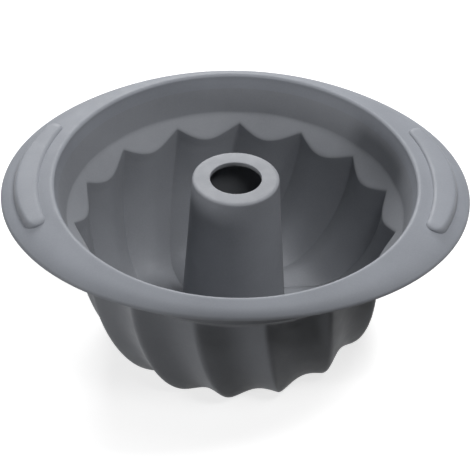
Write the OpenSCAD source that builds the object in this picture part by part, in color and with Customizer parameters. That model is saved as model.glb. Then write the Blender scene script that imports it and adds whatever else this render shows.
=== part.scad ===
// Kugelhopf mould: a round silicone cake mould with twisted flutes, a hollow
// chimney in the middle and an oval rim flange with a grip pad at each end.
// The origin is on the chimney's axis, on the surface the mould stands on.
// +X points to the right-hand grip and +Z points up out of the cavity.

/* [Opening and height] */
// Radius of the opening at the inner edge of the rim
opening_r = 110; // [95:1:130]
// Height of the rim's crest above the surface
mould_h = 115; // [95:1:140]
// Thickness of the silicone in the collar, shoulder, flutes and chimney
wall = 1.6; // [1.2:0.1:2.6]

/* [Rim and flange] */
// Width of the rounded bead round the opening
bead_w = 6; // [5:0.5:9]
// Height of the bead
bead_h = 9; // [8:0.5:12]
// Rounding of the bead's inner edge
crest_r = 1.8; // [1:0.1:3]
// Thickness of the stiffening ring's wire
ring_wire_d = 3.5; // [2:0.25:4]
// Reach of the flange past the opening, at the left and right ends
flange_end = 32.2; // [28:0.2:44]
// Reach of the flange past the opening, at the front and back
flange_side = 11.2; // [10.4:0.2:20]
// Fall of the flange's edge below the crest, at the left and right ends
droop_end = 8.8; // [5:0.2:14]
// Fall of the flange's edge below the crest, at the front and back
droop_side = 6.4; // [4.4:0.2:8]
// Slope of the flange where it leaves the bead, at the left and right ends
root_slope = 0.2; // [0.05:0.01:0.3]
// Slope of the flange where it leaves the bead, at the front and back
root_slope_side = 0.4; // [0.1:0.01:0.5]
// Thickness of the flange
flange_t = 2.4; // [1.8:0.1:3]
// Thickness of the lip turned down round the flange
lip_t = 1.8; // [1.4:0.1:2.6]
// Height of the turned-down lip
lip_h = 2.1; // [1.8:0.1:5]
// Rounding of the lip's upper edge
lip_r = 1.5; // [0.6:0.1:2]

/* [Grip pads] */
// Distance of a pad's inner edge from the opening's edge
pad_inset = 9; // [8:0.5:13]
// Distance of a pad's outer edge from the flange's edge
pad_margin = 8; // [6:0.5:10]
// Half of the angle a pad spans round the rim
pad_half_angle = 24; // [15:1:30]
// How far the pads' middle lies behind the widest point of the flange
pad_turn = 2.5; // [0:0.5:5]
// Height of a pad above the flange, at its inner edge
pad_in_h = 1.5; // [0.8:0.1:1.5]
// Height of a pad above the flange, at its outer edge
pad_out_h = 4; // [1.5:0.1:5]

/* [Collar and shoulder] */
// Height of the smooth collar above the shoulder
collar_h = 25.2; // [18:0.2:32]
// How much the collar draws in from the rim to the shoulder
collar_taper = 6.9; // [2:0.1:10]
// Width of the shoulder at a crease between two flutes
shoulder_w = 4.6; // [3:0.1:7]
// Slope of the shoulder in degrees
shoulder_slope = 45; // [30:1:52]

/* [Flutes] */
// Number of flutes
flutes = 15; // [10:1:20]
// How far a flute's back bulges into the cavity, at the shoulder
flute_depth = 6.8; // [3:0.1:8]
// How far it bulges at the lowest ring
base_depth = 4.2; // [2:0.1:7]
// How far the bulge leans to one side
flute_lean = 0.2; // [0:0.01:0.35]
// Angle of the first crease at the shoulder
first_crease = 16.35; // [0:0.05:24]
// Swirl of the creases from the shoulder down to the lowest ring
wall_swirl = 16.5; // [0:0.5:30]
// Swirl of the creases from the lowest ring in to the chimney
floor_swirl = 15.8; // [0:0.5:25]
// Radius of the lowest ring, on which the mould stands
base_r = 63.5; // [56:0.5:72]
// Thickness of the silicone under the lowest ring
base_t = 2.2; // [1.8:0.1:4]
// Depth of the flats on which the flutes' ridges stand
land_cut = 0.6; // [0.3:0.1:0.8]

/* [Chimney] */
// Radius of the chimney where it leaves the floor
foot_r = 33; // [29:0.5:40]
// Rise of the floor from the lowest ring to the chimney
foot_rise = 5.2; // [0:0.1:9]
// Radius of the chimney at its top
chimney_top_r = 26.6; // [22:0.2:28]
// Height of the chimney's top above the rim's crest
chimney_over = 0; // [-10:0.1:10]
// Thickness of the plate that closes the chimney's top
cap_t = 3; // [2:0.1:5]
// Radius of the hole in the chimney's top
hole_r = 15.7; // [8:0.1:18]
// Rounding of the top plate's outer edge
cap_round = 2.4; // [0.5:0.1:2.4]

/* [Hidden] */

$fn = 160;

// Heights and radii that follow from the sizes above
collar_z = mould_h - collar_h;
bead_z = mould_h - bead_h;
bead_r = opening_r + bead_w;
shoulder_r = opening_r - collar_taper;
crease_r = shoulder_r - shoulder_w;
slope = tan(shoulder_slope);
drop_t = wall / cos(shoulder_slope);
end_a = opening_r + flange_end;
side_b = opening_r + flange_side;
crown_slope = 0.21;
crown_drop = crown_slope * (bead_w - crest_r);

// Rows of the flute surfaces: angle down the wall, then share of the floor
wall_rows = [8, 17, 27, 37, 47, 57, 67, 77, 90];
floor_rows = [0, 0.2, 0.4, 0.6, 0.8, 1];
cell_steps = [0, 0.06, 0.16, 0.28, 0.4, 0.5, 0.6, 0.72, 0.84, 0.94];
ridge_soft = 0.1;
floor_fade = 0.35;
columns = flutes * len(cell_steps);

// The lowest ring's inner height leaves the flats cut into the ridges
crease_z = shoulder_under(crease_r);
base_z = base_t - ridge_soft * base_depth - land_cut;
foot_z = base_z + foot_rise;
foot_top = foot_z + base_depth;
foot_low = foot_z - base_t;
cap_z = mould_h + chimney_over - cap_t;

// Colours
dark_silicone = [0.33, 0.34, 0.36];
mid_silicone = [0.42, 0.43, 0.46];
light_silicone = [0.55, 0.56, 0.6];
steel = [0.72, 0.73, 0.75];

// Inner face of the bead and collar at a height
function inner_face(z) = opening_r - collar_taper * (mould_h - z) / collar_h;

// Upper and under side of the shoulder at a radius
function shoulder_over(r) = collar_z - (shoulder_r - r) * slope;
function shoulder_under(r) = shoulder_over(r) - drop_t;

// Flute across one cell: 0 at the creases, 1 at the back of the bulge
function bulge(t) = sin(180 * t) * (1 + flute_lean * (2 * t - 1));
function soft_bulge(t) = pow(pow(bulge(t), 3) + pow(ridge_soft, 3), 1 / 3);

// Share of the cell and angle of a column of the mesh
function cell_share(i) = cell_steps[i % len(cell_steps)];
function column_angle(i) = first_crease + (floor(i / len(cell_steps)) + cell_share(i)) * 360 / flutes;

// Point at a radius, an angle and a height
function polar(r, a, z) = [r * cos(a), r * sin(a), z];

// Crease line down the wall: a quarter of an ellipse
function wall_r(a) = base_r + (crease_r - base_r) * cos(a);
function wall_z(a) = base_z + (crease_z - base_z) * (1 - sin(a));
function wall_turn(a) = wall_swirl * pow(a / 90, 1.4);
function wall_t(a) = wall + (base_t - wall) * pow(sin(a), 6);
function wall_depth(a) = flute_depth - (flute_depth - base_depth) * pow(a / 90, 2);

// Outward direction square to the crease line
function square_r(a) = (crease_z - base_z) * cos(a);
function square_z(a) = -(crease_r - base_r) * sin(a);
function square_len(a) = sqrt(pow(square_r(a), 2) + pow(square_z(a), 2));

// Point of the wall, moved outwards from the crease line by out
function wall_point(a, i, out) = polar(
    wall_r(a) + out * square_r(a) / square_len(a),
    column_angle(i) + wall_turn(a),
    max(0, wall_z(a) + out * square_z(a) / square_len(a)));

// The wall's upper edge lies on the shoulder's under side
function mouth_r(i) = crease_r - flute_depth * bulge(cell_share(i));
function mouth_out_r(i) = crease_r + wall - flute_depth * soft_bulge(cell_share(i));
function mouth_point(r, i) = polar(r, column_angle(i), shoulder_under(r));

// Point of the floor, lifted by up
function floor_r(v) = base_r + (foot_r - base_r) * v;
function floor_z(v) = base_z + foot_rise * v * v;
function floor_turn(v) = wall_swirl + floor_swirl * pow(v, 1.15);
function floor_depth(v) = base_depth * (1 - floor_fade * v * v);
function floor_point(v, i, up) = polar(floor_r(v), column_angle(i) + floor_turn(v), max(0, floor_z(v) + up));

// The flange rolls down late on its way out, by this power of the share of its width
flange_roll = 3.5;

// Flange outline and how far its edge has fallen, at an angle
function edge_r(a) = end_a * side_b / sqrt(pow(side_b * cos(a), 2) + pow(end_a * sin(a), 2));
function end_share(a) = pow(edge_r(a) * cos(a) / end_a, 2);
function droop(a) = droop_side + (droop_end - droop_side) * pow(end_share(a), 0.9);
function root(a) = root_slope_side + (root_slope - root_slope_side) * end_share(a);

// Flange's upper side at a distance x from the bead
function flange_w(a) = edge_r(a) - bead_r;
function flange_curl(a) = droop(a) - crown_drop - root(a) * flange_w(a);
function flange_top(a, x) = mould_h - crown_drop - root(a) * x - flange_curl(a) * pow(max(0, x / flange_w(a)), flange_roll);

// Section of the flange at an angle, from the bead out and back underneath
function flange_section(a) = let (w = flange_w(a), rim = w - lip_r, lip = w - lip_t, low = flange_top(a, w) - lip_h)
    concat(
        [for (f = [0, 0.3, 0.5, 0.7, 0.85, 1]) [rim * f, flange_top(a, rim * f)]],
        [[w - 0.3 * lip_r, flange_top(a, rim) - 0.4 * lip_r], [w, flange_top(a, rim) - lip_r], [w, low], [lip, low]],
        [for (f = [1, 0.7, 0.35, 0]) [lip * f, flange_top(a, lip * f) - flange_t]]);

// Half width of a pad at a share of its length, with round ends
function pad_round(s) = sqrt(max(0, 1 - pow(max(0, (abs(s) - 0.88) / 0.12), 2)));
function pad_angle(side, s) = (side > 0 ? pad_turn : 180 - pad_turn) + s * pad_half_angle;
function pad_mid(a) = (opening_r + pad_inset + edge_r(a) - pad_margin) / 2;
function pad_half(a, s) = (edge_r(a) - pad_margin - opening_r - pad_inset) / 2 * pad_round(s);
function pad_h(f, s) = (pad_in_h + pad_out_h + (pad_out_h - pad_in_h) * f) / 2 * min(1, 0.25 + 0.75 * pad_round(s));

// Section of a pad: along its foot, then back over its rounded top
function pad_section(a, s) = let (m = pad_mid(a), h = max(0.3, pad_half(a, s)))
    concat(
        [for (f = [-1, -0.5, 0, 0.5, 1]) [m + h * f, flange_top(a, m + h * f - bead_r)]],
        [for (p = [[0.97, 0.55], [0.86, 0.9], [0.6, 1], [0, 1.02], [-0.6, 1], [-0.86, 0.9], [-0.97, 0.55]])
            [m + h * p[0], flange_top(a, m + h * p[0] - bead_r) + pad_h(p[0], s) * p[1]]]);

// Faces of one flute: its skin, section by section, and its two ends at the creases
function flute_faces(n, m) = concat(
    [for (i = [0:n - 2], j = [0:m - 1]) [i * m + j, i * m + (j + 1) % m, (i + 1) * m + (j + 1) % m, (i + 1) * m + j]],
    [for (j = [0:m / 2 - 2], f = [[j, m - 1 - j, m - 2 - j], [j + 1, j, m - 2 - j]]) f],
    [for (j = [0:m / 2 - 2], f = [[j, m - 2 - j, m - 1 - j], [j, j + 1, m - 2 - j]]) [for (v = f) (n - 1) * m + v]]);

// Faces of a tube of sections that closes on itself
function ring_faces(n, m) = [for (i = [0:n - 1], j = [0:m - 1])
    [i * m + j, i * m + (j + 1) % m, ((i + 1) % n) * m + (j + 1) % m, ((i + 1) % n) * m + j]];

// Faces of a tube of sections with two closed ends
function rod_faces(n, m) = concat(
    [for (i = [0:n - 2], j = [0:m - 1]) [i * m + j, i * m + (j + 1) % m, (i + 1) * m + (j + 1) % m, (i + 1) * m + j]],
    [[for (j = [m - 1:-1:0]) j]],
    [[for (j = [0:m - 1]) (n - 1) * m + j]]);

// Rounded bead round the opening, holding the stiffening ring
module rim_bead() {
    arc = [for (a = [0:15:90])
        [inner_face(mould_h - crest_r) + (opening_r + crest_r - inner_face(mould_h - crest_r)) * (1 - cos(a)),
            mould_h - crest_r * (1 - sin(a))]];
    color(light_silicone)
        difference() {
            rotate_extrude()
                polygon(concat([[inner_face(bead_z), bead_z]], arc, [[bead_r, mould_h - crown_drop], [bead_r, bead_z]]));
            ring_wire();
        }
}

// Wire of the stiffening ring, in the middle of the bead
module ring_wire() {
    z = mould_h - 0.55 * bead_h;
    rotate_extrude()
        translate([(inner_face(z) + bead_r) / 2, z])
            circle(d = ring_wire_d, $fn = 48);
}

module stiffening_ring() {
    color(steel) ring_wire();
}

// Oval flange with a turned-down lip
module rim_flange() {
    n = 96;
    // Corners just outside the bead's round face, so that the flats touch it
    root = bead_r / cos(180 / n);
    sections = [for (i = [0:n - 1]) let (a = i * 360 / n)
        [for (p = flange_section(a)) polar(root + p[0] * (edge_r(a) - root) / flange_w(a), a, p[1])]];
    color(light_silicone)
        polyhedron([for (s = sections) for (p = s) p], ring_faces(n, len(sections[0])), convexity = 6);
}

// Raised pad on one end of the flange
module grip_pad(side) {
    shares = [-1, -0.985, -0.96, -0.92, -0.88, -0.7, -0.5, -0.3, -0.1, 0.1, 0.3, 0.5, 0.7, 0.88, 0.92, 0.96, 0.985, 1];
    sections = [for (s = shares) let (a = pad_angle(side, s))
        [for (p = pad_section(a, s)) polar(p[0], a, p[1])]];
    color(mid_silicone)
        polyhedron([for (s = sections) for (p = s) p], rod_faces(len(shares), len(sections[0])), convexity = 6);
}

module grip_pad_left() {
    grip_pad(-1);
}

module grip_pad_right() {
    grip_pad(1);
}

// Smooth tapered wall between the rim and the shoulder
module collar() {
    color(dark_silicone)
        rotate_extrude()
            polygon([
                [inner_face(bead_z), bead_z],
                [shoulder_r, collar_z],
                [shoulder_r + wall, collar_z],
                [inner_face(bead_z) + wall, bead_z]]);
}

// Sloping ledge whose inner edge follows the flutes
module shoulder() {
    inside_r = crease_r - 1.2 * flute_depth;
    color(mid_silicone)
        difference() {
            rotate_extrude()
                polygon([
                    [shoulder_r, collar_z],
                    [shoulder_r + wall, collar_z],
                    [shoulder_r + wall, shoulder_under(shoulder_r + wall)],
                    [inside_r, shoulder_under(inside_r)],
                    [inside_r, shoulder_over(inside_r)]]);
            translate([0, 0, shoulder_under(inside_r) - 1])
                linear_extrude(mould_h)
                    polygon([for (i = [0:columns - 1]) mouth_r(i) * [cos(column_angle(i)), sin(column_angle(i))]]);
        }
}

// One twisted flute of the wall, from its crease to the next and from the shoulder down to the lowest ring
module flute(number) {
    steps = len(cell_steps);
    sections = [for (i = [(number - 1) * steps:number * steps]) concat(
        [mouth_point(mouth_r(i), i)],
        [for (a = wall_rows) wall_point(a, i, -wall_depth(a) * bulge(cell_share(i)))],
        [for (k = [len(wall_rows) - 1:-1:0]) let (a = wall_rows[k])
            wall_point(a, i, wall_t(a) - wall_depth(a) * soft_bulge(cell_share(i)))],
        [mouth_point(mouth_out_r(i), i)])];
    color(dark_silicone)
        polyhedron([for (s = sections) for (p = s) p], flute_faces(steps + 1, len(sections[0])), convexity = 6);
}

// Fluted floor from the lowest ring in to the chimney
module flute_floor() {
    rows = len(floor_rows);
    inner = [for (v = floor_rows, i = [0:columns - 1]) floor_point(v, i, floor_depth(v) * bulge(cell_share(i)))];
    outer = [for (v = [for (k = [rows - 1:-1:0]) floor_rows[k]], i = [0:columns - 1])
        floor_point(v, i, floor_depth(v) * soft_bulge(cell_share(i)) - base_t)];
    color(mid_silicone)
        polyhedron(concat(inner, outer), shell_faces(2 * rows), convexity = 10);
}

// Faces of a shell whose rows run down the inside and back up the outside
function shell_faces(n) = [for (j = [0:n - 1], i = [0:columns - 1]) let (k = (i + 1) % columns, m = (j + 1) % n)
    [j * columns + i, m * columns + i, m * columns + k, j * columns + k]];

// Hollow tapered chimney
module chimney() {
    color(mid_silicone)
        rotate_extrude()
            polygon([
                [foot_r, foot_low],
                [foot_r, foot_top],
                [chimney_top_r, cap_z],
                [chimney_top_r - wall, cap_z],
                [foot_r - wall, foot_top],
                [foot_r - wall, foot_low]]);
}

// Plate that closes the chimney's top, with a round hole
module chimney_cap() {
    color(light_silicone)
        difference() {
            rotate_extrude()
                polygon(concat(
                    [[0, cap_z], [chimney_top_r, cap_z]],
                    [for (a = [0:15:90]) [chimney_top_r - cap_round * (1 - cos(a)), cap_z + cap_t - cap_round * (1 - sin(a))]],
                    [[0, cap_z + cap_t]]));
            translate([0, 0, cap_z - 1])
                cylinder(r = hole_r, h = cap_t + 2);
        }
}

rim_bead();
stiffening_ring();
rim_flange();
grip_pad_left();
grip_pad_right();
collar();
shoulder();
for (k = [1:flutes])
    flute(k);
flute_floor();
chimney();
chimney_cap();
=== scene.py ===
"""Looks of the kugelhopf mould: its silicone skin swept round the packed part, its finish and a studio.

Every size is in metres, in the frame of the packed part: +X to the right-hand grip and +Z up out of the
cavity.
"""

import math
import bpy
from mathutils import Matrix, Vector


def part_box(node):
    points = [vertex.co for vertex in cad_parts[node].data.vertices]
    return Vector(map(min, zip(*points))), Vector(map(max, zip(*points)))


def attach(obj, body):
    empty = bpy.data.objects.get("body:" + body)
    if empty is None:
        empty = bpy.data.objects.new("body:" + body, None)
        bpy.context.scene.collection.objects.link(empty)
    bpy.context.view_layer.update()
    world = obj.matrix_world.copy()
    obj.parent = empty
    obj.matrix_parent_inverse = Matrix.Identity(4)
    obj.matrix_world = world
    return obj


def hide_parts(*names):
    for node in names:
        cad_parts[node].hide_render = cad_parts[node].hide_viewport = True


bl_info = {
    "name": "Kugelhopf Mould",
    "version": (1, 0, 0),
    "blender": (4, 5, 0),
    "location": "View3D > Sidebar > Kugelhopf",
    "description": "Builds the silicone skin, grips and studio of a kugelhopf mould",
    "category": "Add Mesh",
}

import bmesh
import bpy
from bpy.props import FloatProperty, FloatVectorProperty, IntProperty, PointerProperty
from mathutils import Vector

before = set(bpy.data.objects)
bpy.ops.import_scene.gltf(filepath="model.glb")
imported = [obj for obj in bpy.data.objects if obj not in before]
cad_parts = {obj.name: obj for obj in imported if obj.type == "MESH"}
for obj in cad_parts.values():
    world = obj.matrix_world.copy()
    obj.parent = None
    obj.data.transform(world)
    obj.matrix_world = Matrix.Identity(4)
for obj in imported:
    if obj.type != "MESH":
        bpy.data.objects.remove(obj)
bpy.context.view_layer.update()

BEAD_LOW, BEAD_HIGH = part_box("rim_bead")
FLANGE_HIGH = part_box("rim_flange")[1]
CHIMNEY_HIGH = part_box("chimney")[1]
CAP_LOW, CAP_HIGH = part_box("chimney_cap")

# Columns of one row of a profile, as the sweep reads them
ROW = ("r", "z", "lift_r", "lift_z", "wide_r", "wide_z",
       "fall", "pinch", "soft", "swirl", "edge", "ridge")

# Small roundings and offsets of the silicone, and the gap at which doubled points merge, in metres
LEDGE_ROUND = 0.0012
BROW_ROUND = 0.0014
HEM_ROUND = 0.0032
HEEL_ROUND = 0.0008
CEILING_ROUND = 0.0012
LIP_FOLD_ROUND = 0.0006
ARMPIT_ROUND = 0.0012
SOLE_ROUND = 0.0008
SOLE_WIDTH = 0.004
BRIM_LEAN = 0.0001
FOOT_LIFT = 0.0012
MERGE_GAP = 0.000002

# How the forms grow: angles, shares and powers of their rules
SQUARE_TURN = math.radians(12)
FIRST_OUTER_ROW = math.radians(2)
WALL_SWIRL_POWER = 1.4
FLOOR_SWIRL_POWER = 1.15
BASE_GROWTH_POWER = 6
SOFTENING_POWER = 3
CREASE_MARK_POWER = 5
END_FALL_POWER = 1.8
PINCH_POWER = 4
CROWN_EASE = 0.2
FOOT_FLUTE_SHARE = 0.3
CREASE_CROWDING = 0.6

# Rows of the profiles along each stretch
WALL_ROWS = 34
FLOOR_ROWS = 12
MOUTH_ROWS = 8
CREST_ROWS = 9
CROWN_ROWS = 12
FLANGE_ROWS = 24
UNDER_ROWS = 12

# How strongly each edge is lightened: rubbing on most, a painted highlight on the crest and on the lip's
# foot
MOUTH_RUB = 0.6
CREST_HIGHLIGHT = 0.6
PLATE_RUB = 0.8
LIP_RUB = 0.6
LIP_FOOT_HIGHLIGHT = 1.4
PAD_RUB = 0.8

# Grip pads: mesh stations and columns, where the round ends begin, and the shape of ends and walls
PAD_STATIONS = 120
PAD_COLUMNS = 30
PAD_STRAIGHT = 0.88
PAD_END_POWER = 2.6
PAD_LEAST_WIDTH = 0.02
PAD_END_HEIGHT = 0.2
PAD_WALL_SHARE = 0.35

# Finish: sizes of the marks in metres, how far they tint the colour, their shares and their polish
PATCH_SIZE = 0.009
RIPPLE_SIZE = 0.012
GLINT_SIZE = 0.004
CLOUD_TINTS = (0.95, 1.05)
FLECK_TINT = 1.16
FLECK_SHARE = 0.35
# Painted shade: how dark the inner creases are painted
CREASE_SHADE_TINT = 0.6
SMEAR_TINT = 1.22
SMEAR_SHARE = 0.12
SMEAR_POLISH = 0.07
ROUGHNESS_CHANGES = (-0.03, 0.05)
WEAR_AND_HIGHLIGHT_POLISH = 0.3
RIPPLE_SHARE = 1.5
GRAIN_STRENGTH = 0.6
SILICONE_IOR = 1.41

# Wire: sizes of its streaks, of the change in its gloss and of its scratches, and how they look
STREAK_SIZE = 0.0012
WIRE_GLINT_SIZE = 0.0006
SCRATCH_SIZE = 0.0003
SCRATCH_DEPTH = 0.00001
SCRATCH_STRENGTH = 0.4
STREAK_TINTS = (0.8, 1.1)
WIRE_ROUGHNESS = (0.22, 0.4)

SMOOTH_BELOW = math.radians(38)
LAMP_DISTANCE = 1.8
LAMP_AIM = Vector((0, 0, 0.06))
FLOOR_ROUGHNESS = 0.9
FLOOR_GLOSS = 0.1


# Sizes and colours


class BowlSizes(bpy.types.PropertyGroup):
    """Sizes of the collar, the shoulder and the fluted bowl"""

    opening_r: FloatProperty(
        name="Opening radius", description="Radius at the inner edge of the rim",
        default=0.110, unit="LENGTH")
    height: FloatProperty(
        name="Height", description="Height of the rim's crest", default=BEAD_HIGH.z, unit="LENGTH")
    wall: FloatProperty(
        name="Wall", description="Thickness of the silicone", default=0.0016, unit="LENGTH")
    collar_h: FloatProperty(
        name="Collar height", description="Height of the smooth collar", default=0.0252, unit="LENGTH")
    collar_taper: FloatProperty(
        name="Collar taper", description="How much the collar draws in", default=0.0069, unit="LENGTH")
    shoulder_w: FloatProperty(
        name="Shoulder width", description="Width of the shoulder at a crease",
        default=0.0046, unit="LENGTH")
    shoulder_slope: FloatProperty(
        name="Shoulder slope", description="Slope of the shoulder",
        default=math.radians(45), subtype="ANGLE")
    mouth_round: FloatProperty(
        name="Mouth rounding", description="Rounding of the shoulder's inner edge",
        default=0.0019, unit="LENGTH")
    flutes: IntProperty(name="Flutes", description="Number of flutes", default=15, min=3)
    flute_depth: FloatProperty(
        name="Flute depth", description="How far a flute bulges into the cavity at the shoulder",
        default=0.0068, unit="LENGTH")
    base_depth: FloatProperty(
        name="Base depth", description="How far a flute bulges at the lowest ring",
        default=0.0042, unit="LENGTH")
    flute_lean: FloatProperty(
        name="Flute lean", description="How far the bulge leans to one side", default=0.2)
    first_crease: FloatProperty(
        name="First crease", description="Angle of the first crease",
        default=math.radians(16.35), subtype="ANGLE")
    wall_swirl: FloatProperty(
        name="Wall swirl", description="Turn of a crease down the wall",
        default=math.radians(16.5), subtype="ANGLE")
    floor_swirl: FloatProperty(
        name="Floor swirl", description="Turn of a crease across the floor",
        default=math.radians(15.8), subtype="ANGLE")
    floor_fade: FloatProperty(
        name="Floor fade", description="Share of the flutes' depth lost across the floor", default=0.35)
    inner_soft: FloatProperty(
        name="Crease softness", description="Rounding of the creases inside, as a share of the depth",
        default=0.02)
    outer_soft: FloatProperty(
        name="Ridge softness", description="Rounding of the ridges outside, as a share of the depth",
        default=0.1)
    base_r: FloatProperty(
        name="Base radius", description="Radius of the lowest ring", default=0.0635, unit="LENGTH")
    base_t: FloatProperty(
        name="Base thickness", description="Thickness under the lowest ring",
        default=0.0022, unit="LENGTH")
    land_cut: FloatProperty(
        name="Land cut", description="Depth of the flats on the ridges", default=0.0006, unit="LENGTH")
    columns: IntProperty(
        name="Columns per flute", description="Mesh columns across one flute", default=22, min=8)


class ChimneySizes(bpy.types.PropertyGroup):
    """Sizes of the chimney and its top plate"""

    foot_r: FloatProperty(
        name="Foot radius", description="Radius at the floor", default=CHIMNEY_HIGH.x, unit="LENGTH")
    foot_rise: FloatProperty(
        name="Foot rise", description="Rise of the floor towards the chimney",
        default=0.0052, unit="LENGTH")
    foot_round: FloatProperty(
        name="Foot rounding", description="Rounding between the floor and the chimney",
        default=0.004, unit="LENGTH")
    join: FloatProperty(
        name="Join", description="Height above the foot where the skins of bowl and chimney meet",
        default=0.0035, unit="LENGTH")
    top_r: FloatProperty(
        name="Top radius", description="Radius at the top plate", default=CAP_HIGH.x, unit="LENGTH")
    top_z: FloatProperty(
        name="Top height", description="Height of the top plate", default=CAP_HIGH.z, unit="LENGTH")
    cap_t: FloatProperty(
        name="Plate thickness", description="Thickness of the top plate",
        default=CAP_HIGH.z - CAP_LOW.z, unit="LENGTH")
    cap_round: FloatProperty(
        name="Plate rounding", description="Rounding of the plate's outer edge",
        default=0.0024, unit="LENGTH")
    hole_r: FloatProperty(
        name="Hole radius", description="Radius of the hole in the top", default=0.0157, unit="LENGTH")
    hole_round: FloatProperty(
        name="Hole rounding", description="Rounding of the hole's edges", default=0.0004, unit="LENGTH")
    columns: IntProperty(name="Columns", description="Mesh columns round the chimney", default=192, min=24)


class RimSizes(bpy.types.PropertyGroup):
    """Sizes of the bead, the oval flange and its lip"""

    crest_r: FloatProperty(
        name="Crest rounding", description="Rounding of the bead's inner edge",
        default=0.0018, unit="LENGTH")
    end_reach: FloatProperty(
        name="End reach", description="Half length of the flange", default=FLANGE_HIGH.x, unit="LENGTH")
    side_reach: FloatProperty(
        name="Side reach", description="Half depth of the flange", default=FLANGE_HIGH.y, unit="LENGTH")
    droop_end: FloatProperty(
        name="End droop", description="Fall of the flange's edge at the ends",
        default=0.0088, unit="LENGTH")
    droop_side: FloatProperty(
        name="Side droop", description="Fall of the flange's edge at front and back",
        default=0.0064, unit="LENGTH")
    crown_end: FloatProperty(
        name="End crown drop", description="Fall of the bead's crown to its outer edge, at the ends",
        default=0.000882, unit="LENGTH")
    crown_side: FloatProperty(
        name="Side crown drop", description="Fall of the bead's crown to its outer edge, at front and back",
        default=0.0013, unit="LENGTH")
    root_slope: FloatProperty(
        name="Root slope", description="Slope of the flange at the bead, at the ends", default=0.2)
    root_slope_side: FloatProperty(
        name="Side root slope", description="Slope of the flange at the bead, at front and back",
        default=0.4)
    roll: FloatProperty(
        name="Roll", description="How late the flange rolls down on its way out", default=3.5)
    flange_t: FloatProperty(
        name="Flange thickness", description="Thickness of the flange", default=0.0024, unit="LENGTH")
    lip_t: FloatProperty(
        name="Lip thickness", description="Thickness of the turned-down lip",
        default=0.0018, unit="LENGTH")
    lip_h: FloatProperty(
        name="Lip height", description="Height of the turned-down lip", default=0.0021, unit="LENGTH")
    lip_r: FloatProperty(
        name="Lip rounding", description="Rounding of the lip's upper edge",
        default=0.0015, unit="LENGTH")
    columns: IntProperty(name="Columns", description="Mesh columns round the rim", default=360, min=48)


class GripSizes(bpy.types.PropertyGroup):
    """Sizes of the two grip pads"""

    inset: FloatProperty(
        name="Inset", description="From the opening to a pad's inner edge", default=0.009, unit="LENGTH")
    margin: FloatProperty(
        name="Margin", description="From a pad's outer edge to the flange's edge",
        default=0.0078, unit="LENGTH")
    half_angle: FloatProperty(
        name="Half angle", description="Half of the angle a pad spans",
        default=math.radians(24), subtype="ANGLE")
    turn: FloatProperty(
        name="Turn", description="How far the pads lie behind the flange's ends",
        default=math.radians(2.5), subtype="ANGLE")
    in_h: FloatProperty(
        name="Inner height", description="Height at the inner edge", default=0.0015, unit="LENGTH")
    out_h: FloatProperty(
        name="Outer height", description="Height at the outer edge", default=0.004, unit="LENGTH")
    edge_round: FloatProperty(
        name="Edge rounding", description="Width over which a pad's wall rounds over to its top",
        default=0.0030, unit="LENGTH")
    in_draft: FloatProperty(
        name="Inner draft", description="How far the inner wall leans in", default=0.0007, unit="LENGTH")
    out_draft: FloatProperty(
        name="Outer draft", description="How far the outer wall leans in", default=0.0005, unit="LENGTH")
    sink: FloatProperty(
        name="Sink", description="How far a pad's foot is let into the flange",
        default=0.0002, unit="LENGTH")


class SiliconeFinish(bpy.types.PropertyGroup):
    """Colour and surface of the moulded silicone"""

    rim_colour: FloatVectorProperty(
        name="Rim", description="Colour of the rim and flange",
        default=(0.262, 0.276, 0.306), subtype="COLOR", size=3)
    # Painted shade: a darker, less blue copy of the rim's colour, for the bowl and chimney that lie in
    # shade
    bowl_colour_shaded: FloatVectorProperty(
        name="Bowl", description="Colour of the bowl",
        default=(0.252, 0.262, 0.284), subtype="COLOR", size=3)
    # Lighter edge colour: rubbed edges, and a painted highlight along the crest and the lip's foot
    worn_and_highlight_colour: FloatVectorProperty(
        name="Worn edge", description="Colour of rubbed edges",
        default=(0.36, 0.37, 0.40), subtype="COLOR", size=3)
    steel_colour: FloatVectorProperty(
        name="Steel", description="Colour of the ring's wire",
        default=(0.55, 0.56, 0.57), subtype="COLOR", size=3)
    roughness: FloatProperty(
        name="Roughness", description="Roughness of clean silicone", default=0.52, min=0, max=1)
    grain_size: FloatProperty(
        name="Grain size", description="Size of the moulded grain", default=0.0005, unit="LENGTH")
    grain_depth: FloatProperty(
        name="Grain depth", description="Depth of the moulded grain", default=0.00002, unit="LENGTH")
    cloud_size: FloatProperty(
        name="Cloud size", description="Size of the faint clouds of tone", default=0.035, unit="LENGTH")
    fleck_size: FloatProperty(
        name="Fleck size", description="Size of the pale flecks", default=0.0011, unit="LENGTH")
    smear_size: FloatProperty(
        name="Smear size", description="Size of the handling marks", default=0.022, unit="LENGTH")
    # How far the lighter edge colour shows: rubbed edges, and a painted highlight on the crest and the
    # lip's foot
    wear_and_highlight: FloatProperty(name="Wear", description="How much rubbed edges show", default=0.3, min=0, max=1)
    # Painted shade: how far the inner creases are darkened
    painted_crease_shade: FloatProperty(
        name="Dust", description="How much dust the creases keep", default=0.22, min=0, max=1)
    gloss: FloatProperty(
        name="Gloss", description="Strength of the silicone's reflections", default=0.2, min=0, max=1)


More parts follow.
